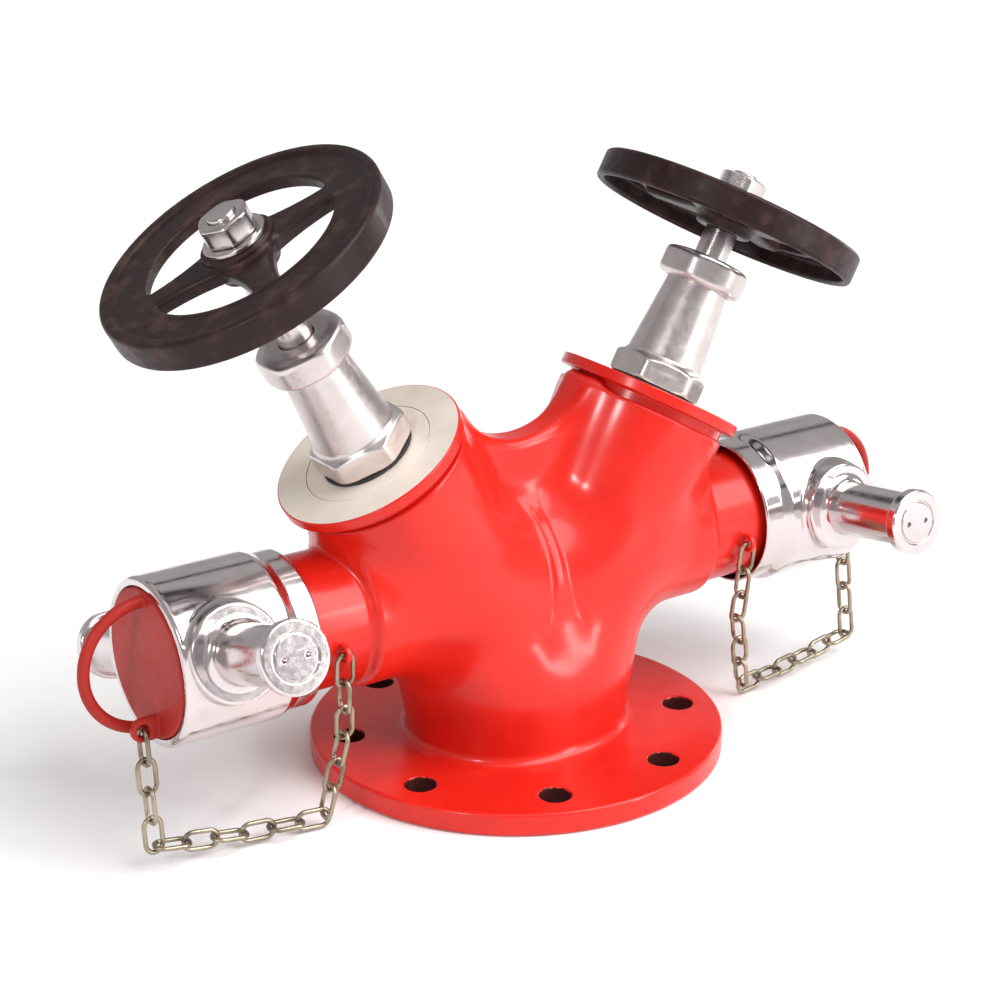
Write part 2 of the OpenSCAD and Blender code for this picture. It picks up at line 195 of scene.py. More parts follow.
def cone(p: Array, foot: float, top: float, low: float, high: float, edge: float) -> Array:
    """Distance to an upright tapered drum.

    Args:
        p: Points in the cone's frame.
        foot: Radius at the lower end.
        top: Radius at the upper end.
        low: Its lower end.
        high: Its upper end.
        edge: Radius of its rounded edges.

    Returns:
        Distance of each point.
    """
    slope = (top - foot) / (high - low)
    wall = (radius_of(p) - foot - slope * (p[:, 2] - low)) / math.hypot(1, slope)
    return round_meet(wall, between(p[:, 2], low, high), edge)


def hexagon(p: Array, flats: float, turn: float, corner: float) -> Array:
    """Distance to an endless hexagonal bar.

    Args:
        p: Points in the bar's frame.
        flats: Width across its flats.
        turn: Angle of its first flat's normal, in degrees.
        corner: Radius of its corners.

    Returns:
        Distance of each point.
    """
    walls = []
    for k in range(3):
        a = math.radians(turn + 60 * k)
        walls.append(np.abs(p[:, 0] * math.cos(a) + p[:, 1] * math.sin(a)) - flats / 2)
    return round_meet(round_meet(walls[0], walls[1], corner), walls[2], corner)


def nut_blank(
    p: Array, flats: float, turn: float, low: float, high: float, soft: float = 1.0
) -> Array:
    """A hexagon with both ends turned to a chamfer.

    Args:
        p: Points in the nut's frame.
        flats: Width across its flats.
        turn: Angle of its first flat's normal, in degrees.
        low: Its lower end.
        high: Its upper end.
        soft: How well worn its edges are: 1 is freshly turned.

    Returns:
        Distance of each point.
    """
    edge = 0.8 * soft
    block = round_meet(hexagon(p, flats, turn, 1.2 * soft), between(p[:, 2], low, high), edge)
    corner = flats / 2 / math.cos(math.radians(30))
    lean = math.radians(32)
    reach = radius_of(p) - (flats / 2 + 1.3 - soft)
    upper = reach * math.sin(lean) + (p[:, 2] - high) * math.cos(lean)
    lower = reach * math.sin(lean) + (low - p[:, 2]) * math.cos(lean)
    turned = np.maximum(upper, lower)
    return round_meet(round_meet(block, turned, edge), radius_of(p) - corner + edge, edge)


# Frames


@dataclass(frozen=True)
class Placing:
    """Where a piece's own frame stands in the valve's frame, in millimetres."""

    matrix: Matrix

    def own(self, points: Array) -> Array:
        """Points of the valve's frame in the piece's own frame."""
        back = np.array(self.matrix.inverted())
        return points @ back[:3, :3].T + back[:3, 3]

    def world(self, points: Array) -> Array:
        """Points of the piece's own frame in the valve's frame."""
        m = np.array(self.matrix)
        return points @ m[:3, :3].T + m[:3, 3]

    def turned(self, vectors: Array) -> Array:
        """Directions of the piece's own frame in the valve's frame."""
        return vectors @ np.array(self.matrix)[:3, :3].T


@dataclass(frozen=True)
class Stations:
    """The valve's driving sizes in millimetres, the same as its frame's."""

    arm_tilt: float = 30.0
    arm_root_z: float = 27.0
    arm_l: float = 177.0
    arm_r: float = 44.0
    outlet_z: float = 100.0
    face_x: float = 213.5
    lug_x: float = 188.0
    knob_r: float = 104.0
    wheel_s: float = 268.5

    def on_arm(self, s: float) -> Placing:
        """A frame whose Z runs outwards along the right arm, s up it."""
        turn = Matrix.Rotation(math.radians(self.arm_tilt), 4, "Y")
        root = Matrix.Translation((0, 0, self.arm_root_z))
        return Placing(root @ turn @ Matrix.Translation((0, 0, s)))

    def on_outlet(self) -> Placing:
        """A frame whose Z runs outwards along the right outlet, from the middle plane."""
        turn = Matrix.Rotation(math.radians(90), 4, "Y")
        return Placing(Matrix.Translation((0, 0, self.outlet_z)) @ turn)

    def on_lug(self, turn: float, facing: Facing) -> Placing:
        """A frame whose Z runs outwards along a lug of the right coupling.

        Args:
            turn: How far the lugs are turned up about the outlet, in degrees.
            facing: Which lug.

        Returns:
            The lug's frame.
        """
        angle = 90 - turn + (180 if facing is Facing.REAR else 0)
        spin = Matrix.Rotation(math.radians(angle), 4, "X")
        return Placing(Matrix.Translation((self.lug_x, 0, self.outlet_z)) @ spin)


STATIONS = Stations()
WORLD = Placing(Matrix.Identity(4))


# Meshing


def show(name: str, data: bpy.types.ID) -> Piece:
    """Puts an object with this mesh, lamp or camera into the scene."""
    made = bpy.data.objects.new(name, data)
    bpy.context.scene.collection.objects.link(made)
    return made


def lattice(counts: Sequence[int]) -> Array:
    """Every whole-numbered place in a box of these counts, one to a row."""
    places = np.meshgrid(*[np.arange(count) for count in counts], indexing="ij")
    return np.stack(places, -1).reshape(-1, 3)


@dataclass
class Skin:
    """A meshed solid in its own frame: points, quads and the exact surface directions."""

    points: Array
    quads: Array
    normals: Array

    def placed(self, placing: Placing, mirrored: bool) -> Skin:
        """The same skin in the valve's frame.

        Args:
            placing: Where the piece's own frame stands.
            mirrored: True to reflect it to the left side.

        Returns:
            A new skin.
        """
        points, normals = placing.world(self.points), placing.turned(self.normals)
        if mirrored:
            return Skin(points * MIRROR, self.quads[:, ::-1], normals * MIRROR)
        return Skin(points, self.quads, normals)

    def middles(self) -> Array:
        """The middle of each quad."""
        return self.points[self.quads].mean(1)

    def piece(self, name: str, materials: Sequence[Material]) -> Piece:
        """Makes the Blender object, in metres.

        Args:
            name: The piece's name.
            materials: Its finishes; the first covers it all.

        Returns:
            The linked object.
        """
        mesh = bpy.data.meshes.new(name)
        count = len(self.quads)
        mesh.vertices.add(len(self.points))
        mesh.vertices.foreach_set("co", (self.points * MM).astype(np.float32).ravel())
        mesh.loops.add(4 * count)
        mesh.loops.foreach_set("vertex_index", self.quads.astype(np.int32).ravel())
        mesh.polygons.add(count)
        mesh.polygons.foreach_set("loop_start", np.arange(0, 4 * count, 4, dtype=np.int32))
        mesh.polygons.foreach_set("use_smooth", np.ones(count, bool))
        mesh.update(calc_edges=True)
        mesh.normals_split_custom_set_from_vertices(self.normals.tolist())
        for material in materials:
            mesh.materials.append(material)
        return show(name, mesh)


def mark(piece: Piece, faces: Array) -> None:
    """Gives some of a piece's faces its second finish.

    Args:
        piece: The piece.
        faces: True for each face that takes the second finish.
    """
    piece.data.polygons.foreach_set("material_index", faces.astype(np.int32))
    piece.data.update()


def tube_quads(rows: int, around: int, closed: bool) -> Array:
    """Quads between rows of points that each run once round.

    Args:
        rows: How many rows there are.
        around: Points in a row.
        closed: True if the last row joins the first.

    Returns:
        The point numbers of each quad.
    """
    i, j = np.meshgrid(np.arange(rows - (not closed)), np.arange(around), indexing="ij")
    i2, j2 = (i + 1) % rows, (j + 1) % around
    corners = [i * around + j, i2 * around + j, i2 * around + j2, i * around + j2]
    return np.stack(corners, -1).reshape(-1, 4)


@dataclass(frozen=True)
class Moulder:
    """Turns a distance field into a skin: a grid near the surface, one point to a crossed cell."""

    step: float
    block: int = 6
    batch: int = 2000
    passes: int = 4
    stride: float = 0.6

    def grid(self, solid: Field, low: Array, high: Array) -> Array:
        """Samples the field, finely only near its surface.

        Args:
            solid: The distance field.
            low: Lowest corner of the grid.
            high: Highest corner that it must reach.

        Returns:
            The sampled distances.
        """
        span = self.block * self.step
        blocks = np.ceil((high - low) / span).astype(int)
        corner, cell, cube = lattice(blocks), lattice([self.block] * 3), (self.block,) * 3
        middles = low + (corner + 0.5) * span - 0.5 * self.step
        middle_d = solid(middles)
        near = np.abs(middle_d) < span * 0.95 + 2 * self.step
        values = np.repeat(middle_d, self.block**3).reshape(-1, *cube)
        active = np.flatnonzero(near)
        for start in range(0, len(active), self.batch):
            rows = active[start : start + self.batch]
            points = low + (corner[rows][:, None, :] * self.block + cell[None]) * self.step
            values[rows] = solid(points.reshape(-1, 3)).reshape(-1, *cube)
        shape = values.reshape(*blocks, *cube)
        return shape.transpose(0, 3, 1, 4, 2, 5).reshape(*(blocks * self.block))

    def slope(self, solid: Field, points: Array) -> Array:
        """The field's gradient at each point."""
        reach = 0.02
        out = np.empty_like(points)
        for axis in range(3):
            shift = np.zeros(3)
            shift[axis] = reach
            out[:, axis] = (solid(points + shift) - solid(points - shift)) / (2 * reach)
        return out

    def skin(self, solid: Field, low: Sequence[float], high: Sequence[float]) -> Skin:
        """Meshes the field's surface.

        Args:
            solid: The distance field, negative inside.
            low: Lowest corner of the solid.
            high: Highest corner of the solid.

        Returns:
            Its skin, with every point on the surface.
        """
        pad = 2.5 * self.step
        base = np.array(low, float) - pad
        values = self.grid(solid, base, np.array(high, float) + pad)
        shape = values.shape
        cells, places, quads = [], [], []
        for axis in range(3):
            here = [slice(None)] * 3
            there = [slice(None)] * 3
            here[axis], there[axis] = slice(0, -1), slice(1, None)
            a, b = values[tuple(here)], values[tuple(there)]
            crossed = (a < 0) != (b < 0)
            index = np.argwhere(crossed)
            va, vb = a[crossed], b[crossed]
            place = index.astype(float)
            place[:, axis] += va / (va - vb)
            u, w = (axis + 1) % 3, (axis + 2) % 3
            corners = []
            for du, dw in ((0, 0), (1, 0), (1, 1), (0, 1)):
                cell = index.copy()
                cell[:, u] -= du
                cell[:, w] -= dw
                corners.append(np.ravel_multi_index(cell.T, shape))
                places.append(place)
            quad = np.stack(corners, 1)
            quads.append(np.where((va < 0)[:, None], quad, quad[:, ::-1]))
            cells.extend(corners)
        keys, index = np.unique(np.concatenate(cells), return_inverse=True)
        place = np.concatenate(places)
        count = np.bincount(index)
        middle = np.stack([np.bincount(index, place[:, k]) / count for k in range(3)], 1)
        points = base + middle * self.step
        faces = np.searchsorted(keys, np.concatenate(quads))
        for _ in range(self.passes):
            rise = self.slope(solid, points)
            steep = np.maximum((rise**2).sum(1), 0.25)
            move = -(solid(points) / steep)[:, None] * rise
            length = np.linalg.norm(move, axis=1, keepdims=True)
            most = self.stride * self.step / np.maximum(length, TINY)
            points = points + move * np.minimum(1, most)
        rise = self.slope(solid, points)
        rise /= np.maximum(np.linalg.norm(rise, axis=1, keepdims=True), TINY)
        return Skin(points, faces, rise)


@dataclass(frozen=True)
class Lathe:
    """Turns a closed outline, with a rounded corner at each point, into a skin about Z."""

    around: int = 144
    arc: int = 5

    def outline(self, corners: Sequence[Triple]) -> tuple[Array, Array]:
        """Rounds an outline's corners.

        Args:
            corners: Radius, height and corner radius of each point, anticlockwise.

        Returns:
            The points of the outline and its outward directions there.
        """
        points, normals = [], []
        count = len(corners)
        for k, (r, z, edge) in enumerate(corners):
            here = Vector((r, z))
            back = (Vector(corners[k - 1][:2]) - here).normalized()
            on = (Vector(corners[(k + 1) % count][:2]) - here).normalized()
            half = math.acos(max(-1.0, min(1.0, back.dot(on)))) / 2
            turn = back.x * on.y - back.y * on.x
            out = -1.0 if turn > 0 else 1.0
            middle = here + (back + on).normalized() * edge / math.sin(half)
            start = here + back * edge / math.tan(half) - middle
            end = here + on * edge / math.tan(half) - middle
            for i in range(self.arc + 1):
                spoke = start.lerp(end, i / self.arc).normalized()
                points.append(middle + spoke * edge)
                normals.append(spoke * out)
        return np.array(points), np.array(normals)

    def skin(self, corners: Sequence[Triple]) -> Skin:
        """Spins a rounded outline about Z.

        Args:
            corners: Radius, height and corner radius of each point, anticlockwise.

        Returns:
            The turned skin.
        """
        line, facing = self.outline(corners)
        angles = np.linspace(0, 2 * math.pi, self.around, endpoint=False)
        c, s = np.cos(angles)[:, None], np.sin(angles)[:, None]
        high = np.broadcast_to(line[:, 1], (self.around, len(line)))
        tall = np.broadcast_to(facing[:, 1], (self.around, len(line)))
        points = np.stack([c * line[:, 0], s * line[:, 0], high], -1).reshape(-1, 3)
        normals = np.stack([c * facing[:, 0], s * facing[:, 0], tall], -1).reshape(-1, 3)
        return Skin(points, tube_quads(self.around, len(line), True), normals)


# Finishes


class Nodes:
    """A short hand for building one material's nodes."""

    def __init__(self, name: str) -> None:
        """Starts an empty material with its output and a Principled shader."""
        self.material = bpy.data.materials.new(name)
        self.material.use_nodes = True
        self.tree = self.material.node_tree
        self.shader = self.tree.nodes["Principled BSDF"]
        self.place = self.add("ShaderNodeTexCoord").outputs["Object"]

    def add(self, kind: str) -> bpy.types.Node:
        """Adds a node of one kind."""
        return self.tree.nodes.new(kind)

    def link(self, source: Socket, target: Socket) -> None:
        """Joins two sockets."""
        self.tree.links.new(source, target)

    def colour(self, share: Socket, a: Socket | Triple, b: Triple) -> None:
        """Colours the shader somewhere between two colours."""
        self.link(self.mix(share, a, b), self.shader.inputs["Base Color"])

    def rough(self, noise: Socket, low: float, high: float) -> None:
        """Varies the shader's roughness with a noise."""
        self.link(self.spread(noise, low, high), self.shader.inputs["Roughness"])

    def fix(self, values: dict[str, float], node: bpy.types.Node | None = None) -> None:
        """Sets plain values on a node, or on the shader if no node is given."""
        inputs = self.shader.inputs if node is None else node.inputs
        for name, value in values.items():
            inputs[name].default_value = value

    def noise(self, size: float, detail: float = 3.0, stretch: Triple = (1, 1, 1)) -> Socket:
        """Noise of one grain size.

        Args:
            size: Size of the grain in millimetres.
            detail: How many finer layers it has.
            stretch: How much shorter the grain is along each axis.

        Returns:
            The noise value.
        """
        node = self.add("ShaderNodeTexNoise")
        self.fix({"Scale": 1.0 / (size * MM), "Detail": detail}, node)
        if stretch == (1, 1, 1):
            self.link(self.place, node.inputs["Vector"])
        else:
            mapping = self.add("ShaderNodeMapping")
            mapping.inputs["Scale"].default_value = stretch
            self.link(self.place, mapping.inputs["Vector"])
            self.link(mapping.outputs["Vector"], node.inputs["Vector"])
        return node.outputs["Fac"]

    def spread(
        self, value: Socket, low: float, high: float, start: float = 0.3, end: float = 0.7
    ) -> Socket:
        """Maps a noise value onto a range.

        Args:
            value: The noise.
            low: Result at the start of the noise's band.
            high: Result at the end of it.
            start: Start of the band.
            end: End of the band.

        Returns:
            The mapped value.
        """
        node = self.add("ShaderNodeMapRange")
        self.fix({"From Min": start, "From Max": end, "To Min": low, "To Max": high}, node)
        self.link(value, node.inputs["Value"])
        return node.outputs["Result"]

    def mix(self, share: Socket, a: Socket | Triple, b: Socket | Triple) -> Socket:
        """Mixes two colours, each a socket or three numbers."""
        node = self.add("ShaderNodeMix")
        node.data_type = "RGBA"
        self.link(share, node.inputs[0])
        for slot, colour in ((6, a), (7, b)):
            if isinstance(colour, tuple):
                node.inputs[slot].default_value = (*colour, 1.0)
            else:
                self.link(colour, node.inputs[slot])
        return node.outputs[2]

    def bumps(self, layers: Sequence[tuple[Socket, float]]) -> None:
        """Stacks bump layers on the shader.

        Args:
            layers: Each layer's height value and its depth in millimetres.
        """
        before = None
        for value, depth in layers:
            node = self.add("ShaderNodeBump")
            node.inputs["Distance"].default_value = depth * MM
            node.inputs["Strength"].default_value = 1.0
            self.link(value, node.inputs["Height"])
            if before is not None:
                self.link(before, node.inputs["Normal"])
            before = node.outputs["Normal"]
        if before is not None:
            self.link(before, self.shader.inputs["Normal"])


@dataclass(frozen=True)
class Paint:
    """Sprayed gloss paint over a sand casting or a turning."""

    name: str
    colour: Triple
    shade: Triple
    gloss: tuple[float, float]
    coat: float
    lump: float
    peel: float

    def material(self) -> Material:
        """Builds the paint: drifting colour, uneven gloss, lumps and orange peel."""
        n = Nodes(self.name)
        n.colour(n.spread(n.noise(34, 4), 0, 1), self.colour, self.shade)
        n.rough(n.noise(9, 5), *self.gloss)
        n.fix({"Specular IOR Level": 0.2, "Coat Weight": self.coat, "Coat Roughness": 0.17})
        n.bumps([(n.noise(14, 3), self.lump), (n.noise(1.3, 2), self.peel)])
        return n.material


@dataclass(frozen=True)
class Metal:
    """Bare or plated metal."""

    name: str
    colour: Triple
    stain: Triple
    gloss: tuple[float, float]
    grain: float
    pits: float
    brush: Triple = (1, 1, 1)
    metallic: float = 1.0

    def material(self) -> Material:
        """Builds the metal: stains, uneven polish, fine scratches or casting grain."""
        n = Nodes(self.name)
        n.colour(n.spread(n.noise(18, 5), 0, 1, 0.42, 0.75), self.colour, self.stain)
        n.fix({"Metallic": self.metallic})
        n.rough(n.noise(self.grain * 4, 4, self.brush), *self.gloss)
        n.bumps([(n.noise(self.grain, 3, self.brush), self.pits)])
        return n.material


@dataclass(frozen=True)
class Enamel:
    """Dark stoved enamel, browner in worn patches, with a painted sheen of brown on its edges."""

    name: str
    colour: Triple
    wear_and_sheen: Triple
    gloss: tuple[float, float]

    def material(self) -> Material:
        """Builds the enamel: a painted brown sheen on its edges, dusty worn patches and a slightly
        lumpy cast surface.
        """
        n = Nodes(self.name)
        # Painted sheen: sharp edges, found by their pointiness, are mixed towards the brown second
        # colour as if lit from the side.
        edge = n.spread(n.add("ShaderNodeNewGeometry").outputs["Pointiness"], 0, 0.8, 0.52, 0.62)
        tone = n.mix(edge, self.colour, self.wear_and_sheen)
        n.colour(n.spread(n.noise(11, 5), 0, 0.6, 0.5, 0.72), tone, self.wear_and_sheen)
        n.rough(n.noise(5, 4), *self.gloss)
        n.fix({"Coat Weight": 0.05, "Coat Roughness": 0.25, "Specular IOR Level": 0.2})
        n.bumps([(n.noise(6, 3), 0.18), (n.noise(0.9, 2), 0.03)])
        return n.material


@dataclass(frozen=True)
class Rubber:
    """Moulded black rubber with a dusty bloom."""

    name: str

    def material(self) -> Material:
        """Builds the rubber."""
        n = Nodes(self.name)
        n.colour(n.spread(n.noise(6, 4), 0, 0.5), (0.016, 0.016, 0.017), (0.05, 0.05, 0.05))
        n.rough(n.noise(2, 3), 0.55, 0.8)
        n.bumps([(n.noise(0.8, 2), 0.03)])
        return n.material


FINISHES = (
    Paint("red_paint", (0.72, 0.018, 0.008), (0.60, 0.011, 0.006), (0.30, 0.40), 0.45, 0.22, 0.02),
    Paint("red_cap", (0.44, 0.026, 0.018), (0.34, 0.018, 0.014), (0.42, 0.55), 0.05, 0.12, 0.03),
    # Each enamel's second colour is both its worn patches and a painted sheen on its edges.
    Enamel("black_enamel", (0.020, 0.008, 0.008), (0.075, 0.038, 0.030), (0.34, 0.48)),
    # The near-black red below is painted shade, laid in the flange's bolt holes and inlet bore and
    # in the coupling's mouth recess.
    Enamel("painted_bore_shade", (0.050, 0.006, 0.005), (0.085, 0.012, 0.010), (0.6, 0.75)),
    Metal("plated_casting", (0.72, 0.65, 0.64), (0.60, 0.53, 0.52), (0.26, 0.38), 0.9, 0.02),
    Metal(
        "turned_face", (0.90, 0.80, 0.71), (0.82, 0.70, 0.61), (0.45, 0.6), 0.5, 0.01, metallic=0.3
    ),
    Metal("polished_metal", (0.74, 0.67, 0.67), (0.64, 0.57, 0.57), (0.11, 0.19), 0.7, 0.004),
    Metal(
        "bright_steel", (0.66, 0.60, 0.59), (0.50, 0.45, 0.44), (0.14, 0.26), 0.5, 0.01, (1, 1, 4)
    ),
    Metal("gunmetal", (0.78, 0.60, 0.33), (0.55, 0.40, 0.20), (0.28, 0.45), 0.8, 0.03),
    Metal("spring_steel", (0.55, 0.55, 0.56), (0.38, 0.37, 0.37), (0.25, 0.4), 0.4, 0.01),
    Metal("chain_wire", (0.42, 0.36, 0.27), (0.20, 0.17, 0.12), (0.24, 0.42), 0.6, 0.02),
    Rubber("black_rubber"),
)


class Paintshop:
    """Every finish that the valve carries, mixed once."""

    def __init__(self) -> None:
        """Mixes the finishes."""
        self.mixed = {finish.name: finish.material() for finish in FINISHES}

    def coats(self, *names: str) -> list[Material]:
        """The finishes of these names, in this order."""
        return [self.mixed[name] for name in names]


# Sub-assemblies


@dataclass
class Casting:
    """The Y-shaped casting: flange, throat, web, arms with turned rims, necks and chain eyes."""

    shop: Paintshop
    flange_r: float = 110.0
    flange_t: float = 12.0
    bolt_circle_r: float = 90.0
    bolt_hole_r: float = 8.0
    bolt_count: int = 8
    inlet_r: float = 49.0
    way_r: float = 25.0
    seat_r: float = 31.1
    chamber_r: float = 34.0
    neck_bore_r: float = 27.0
    lobe_r: float = 50.0
    lobe_x: float = 8.5
    throat_top: float = 42.0
    throat_fillet: float = 6.0
    web_t: float = 20.0
    saddle_z: float = 172.5
    saddle_r: float = 46.0
    neck_r: float = 34.5
    neck_end: float = 156.0
    swell_r: float = 38.5
    swell_end: float = 107.0
    rim_r: float = 50.0
    rim_bore_r: float = 33.92
    rim_t: float = 6.0
    undercut_t: float = 5.0
    undercut_r: float = 43.5
    eye: Triple = (127.0, -38.0, 96.0)

    def arm_points(self, p: Array) -> Array:
        """Points in the right arm's own frame."""
        return STATIONS.on_arm(0).own(p)

    def lobe(self, p: Array) -> Array:
        """Distance to the right half's outside: its share of the throat, its arm and its neck."""
        arm = self.arm_points(p)
        up = arm[:, 2]
        reach = np.maximum(self.lobe_x / math.sin(math.radians(STATIONS.arm_tilt)) - up, 0)
        flare = np.clip((up - 105.0) / 60.0, 0, 1)
        flare = flare * flare * (3 - 2 * flare)
        wall = np.sqrt((arm[:, 0] + 1.3 * flare) ** 2 + arm[:, 1] ** 2 + reach**2)
        wall = wall - STATIONS.arm_r - 2.2 * flare
        top = STATIONS.arm_l - self.rim_t - self.undercut_t
        sleeve = round_meet(wall, up - top, 1.6)
        dome = np.maximum(p[:, 2] - self.throat_top, 0)
        stand = np.sqrt((p[:, 0] - self.lobe_x) ** 2 + p[:, 1] ** 2 + dome**2) - self.lobe_r
        body = soft_join(stand, sleeve, 24.0)
        neck = np.hypot(p[:, 1], p[:, 2] - STATIONS.outlet_z)
        swell = round_meet(neck - self.swell_r, p[:, 0] - self.swell_end, 3.0)
        swell = np.maximum(swell, -p[:, 0])
        body = soft_join(body, swell, 16.0)
        barrel = np.maximum(neck - self.neck_r, np.maximum(-p[:, 0], p[:, 0] - self.neck_end))
        return round_join(body, barrel, 3.5)

    def outside(self, p: Array) -> Array:
        """Distance to the casting's outside, without its flange and rims."""
        body = soft_join(self.lobe(p), self.lobe(p * MIRROR), 6.0)
        body = soft_join(body, self.web(p), 13.0)
        pad = round_meet(radius_of(p) - 70.0, p[:, 2] - self.flange_t + 0.03, 1.0)
        body = round_join(body, pad, self.throat_fillet)
        return np.maximum(body, -p[:, 2] + 0.2)

    def web(self, p: Array) -> Array:
        """Distance to the web that fills the crotch between the arms."""
        thick = np.abs(p[:, 1]) - self.web_t / 2
        crotch = self.saddle_r - np.hypot(p[:, 0], p[:, 2] - self.saddle_z - self.saddle_r)
        lean = math.radians(STATIONS.arm_tilt)
        ray = (np.abs(p[:, 0]) - (p[:, 2] - STATIONS.arm_root_z) * math.tan(lean)) * math.cos(lean)
        bay = np.maximum(ray, between(p[:, 2], 60, 194))
        return round_meet(round_meet(thick, crotch, 5.0), bay, 1.0)

    def inside(self, p: Array) -> Array:
        """Distance to the waterways."""
        arm = self.arm_points(p)
        inlet = drum(p, self.inlet_r, -10, 44)
        way = drum(arm, self.way_r, 18, 90)
        seat = drum(arm, self.seat_r, 60, 90)
        chamber = drum(arm, self.chamber_r, 68, 250)
        out = p[:, [1, 2, 0]] - np.array([0, STATIONS.outlet_z, 0])
        neck = drum(out, self.neck_bore_r, 42, 220)
        return join(inlet, way, seat, chamber, neck)

    def solid(self, p: Array) -> Array:
        """Distance to the casting."""
        folded = np.stack([np.abs(p[:, 0]), p[:, 1], p[:, 2]], 1)
        return round_cut(self.outside(p), self.inside(folded), 1.2)

    def flange(self, p: Array) -> Array:
        """Distance to the drilled flange."""
        plate = drum(p, self.flange_r, 0, self.flange_t, 1.6)
        plate = round_cut(plate, self.from_bolt(p) - self.bolt_hole_r, 1.3)
        return round_cut(plate, radius_of(p) - self.inlet_r, 1.0)

    def from_bolt(self, p: Array) -> Array:
        """Distance of each point from the nearest bolt's axis."""
        angle, r = np.arctan2(p[:, 1], p[:, 0]), radius_of(p)
        spread = 2 * math.pi / self.bolt_count
        folded = angle - np.floor(angle / spread) * spread - spread / 2
        return np.hypot(r * np.cos(folded) - self.bolt_circle_r, r * np.sin(folded))

    def drilled(self, p: Array) -> Array:
        """Which points of the flange lie on the wall of a bolt hole or of the inlet."""
        near = 0.3
        return (self.from_bolt(p) < self.bolt_hole_r + near) | (radius_of(p) < self.inlet_r + near)

    def chain_eye(self, p: Array) -> Array:
        """Distance to one chain eye: a cast tongue with a round, drilled end."""
        x, y, z = self.eye
        flat = np.hypot(p[:, 1] - y, p[:, 2] - z)
        tongue = np.maximum(np.abs(p[:, 2] - z) - 5.0, np.maximum(y - p[:, 1], p[:, 1] + 30.0))
        plate = round_meet(join(flat - 5.0, tongue), np.abs(p[:, 0] - x) - 1.5, 0.9)
        root = np.hypot(p[:, 1], p[:, 2] - STATIONS.outlet_z) - self.neck_r + 0.6
        root = np.maximum(root, np.maximum(np.abs(p[:, 0] - x) - 6, np.abs(p[:, 2] - z) - 9))
        root = np.maximum(root, p[:, 1] + 27)
        return round_cut(round_join(plate, root, 2.0), flat - 2.8, 0.7)

    def rim_outline(self) -> list[Triple]:
        """The turned rim's outline, from the arm's end."""
        low, lip = -16.0, -self.rim_t
        return [
            (self.rim_bore_r, low, 0.2), (self.undercut_r, low, 0.2), (self.undercut_r, lip, 0.8),
            (self.rim_r, lip, 1.0), (self.rim_r, 0.0, 0.8), (self.rim_bore_r, 0.0, 0.15),
        ]

    def build(self) -> None:
        """Makes the casting's pieces and puts them in place of the frame's."""
        low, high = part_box("body")
        skin = Moulder(1.35).skin(self.solid, (-158, -70, 0), (158, 70, high.z / MM))
        red = self.shop.coats("red_paint")
        body = skin.piece("casting_body", red)
        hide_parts("body")
        pieces = [body]
        plate = Moulder(1.0).skin(self.flange, (-110, -110, 0), (110, 110, 12))
        # Painted shade: the bolt holes and the inlet bore take a near-black red, as if in shadow.
        flange = plate.piece("casting_flange", self.shop.coats("red_paint", "painted_bore_shade"))
        mark(flange, self.drilled(plate.middles()))
        pieces.append(flange)
        x, y, z = self.eye
        eye = Moulder(0.5).skin(self.chain_eye, (x - 7, y - 6, z - 10), (x + 7, -26, z + 10))
        rim = Lathe(192).skin(self.rim_outline())
        for side in Side:
            loop = eye.placed(WORLD, side.mirrored)
            pieces.append(loop.piece(side.node("chain_eye"), red))
            turned = rim.placed(STATIONS.on_arm(STATIONS.arm_l), side.mirrored)
            piece = turned.piece(side.node("arm_rim"), self.shop.coats("red_paint", "turned_face"))
            self.bare(piece, rim)
            pieces.append(piece)
        for piece in pieces:
            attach(piece, "casting")
        LOG.info("casting: %d points in the body, box %s %s", len(skin.points), low, high)

    def bare(self, piece: Piece, rim: Skin) -> None:
        """Leaves the rim's turned face and bore without paint.

        Args:
            piece: The rim piece.
            rim: The same rim in its own frame.
        """
        middle = rim.middles()
        r = radius_of(middle)
        face = (middle[:, 2] > -0.25) & (r < self.rim_r - 0.75)
        bore = r < 36
        mark(piece, face | bore)


